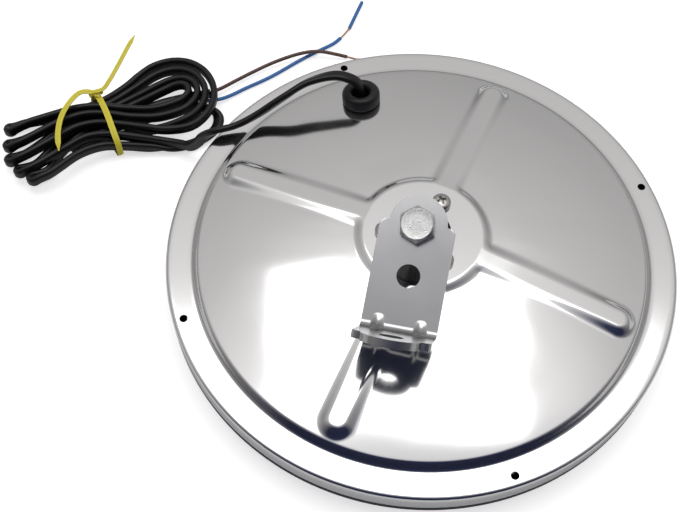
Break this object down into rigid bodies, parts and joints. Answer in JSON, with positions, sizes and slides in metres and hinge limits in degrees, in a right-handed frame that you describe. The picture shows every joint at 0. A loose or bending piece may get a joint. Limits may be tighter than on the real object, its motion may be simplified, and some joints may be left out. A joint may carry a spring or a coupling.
{
  "type": "convex mirror",
  "caption": "Round heated convex mirror lying on its glass: domed polished back with pressed ribs, rubber edge, ball swivel with bent bracket, and a two-core lead in a tied hank.",
  "frame": {"origin": "crown of the convex glass, on the mirror's axis, where it rests on the floor", "axes": "+Z out of the mirror's back along its axis; the bracket leans towards -Y and the lead leaves towards -X"},
  "size_m": [0.304, 0.2671, 0.0727],
  "materials": {
    "polished_steel": "mirror-polished stainless sheet",
    "black_rubber": "matte moulded rubber",
    "mirror_glass": "polished convex mirror",
    "heater_film": "satin film",
    "foam": "matte closed-cell foam",
    "plated_steel": "satin zinc plate",
    "terminal_brass": "satin",
    "brown_insulation": "satin plastic",
    "blue_insulation": "satin plastic",
    "screw_steel": "bright steel",
    "ball_steel": "dark satin steel",
    "bracket_steel": "tumbled bright stainless",
    "bolt_steel": "satin stainless",
    "cable_jacket": "satin black jacket",
    "yellow_tie": "satin coated wire",
    "bare_copper": "bright strands"
  },
  "bodies": {
    "mirror": {"back_shell": "polished_steel", "edge_gasket": "black_rubber", "cable_grommet": "black_rubber", "mirror_glass": "mirror_glass", "heater_film": "heater_film", "foam_pad": "foam", "backing_plate": "plated_steel", "heater_terminal_1": "terminal_brass", "heater_terminal_2": "terminal_brass", "inner_lead_brown": "brown_insulation", "inner_lead_blue": "blue_insulation", "socket_cup": "plated_steel", "socket_screw_1": "screw_steel", "socket_screw_2": "screw_steel", "socket_screw_3": "screw_steel", "cable_lead": "cable_jacket", "cable_hank": "cable_jacket", "twist_tie": "yellow_tie", "core_brown": "brown_insulation", "core_blue": "blue_insulation", "blue_slug": "blue_insulation", "strands_brown": "bare_copper", "strands_blue": "bare_copper"},
    "swivel_ball": {"ball_stud": "ball_steel", "bracket_bolt": "bolt_steel"},
    "bracket": {"l_bracket": "bracket_steel"}
  },
  "joints": [
    {"name": "ball_tilt", "type": "hinge", "parent": "mirror", "child": "swivel_ball", "pos_m": [0, 0, 0.033], "axis": [0.9311, -0.3649, 0], "range_deg": [-46, 2]},
    {"name": "bracket_swivel", "type": "hinge", "parent": "swivel_ball", "child": "bracket", "pos_m": [0, 0, 0.033], "axis": [-0.139, -0.3548, 0.9245], "continuous": true}
  ]
}
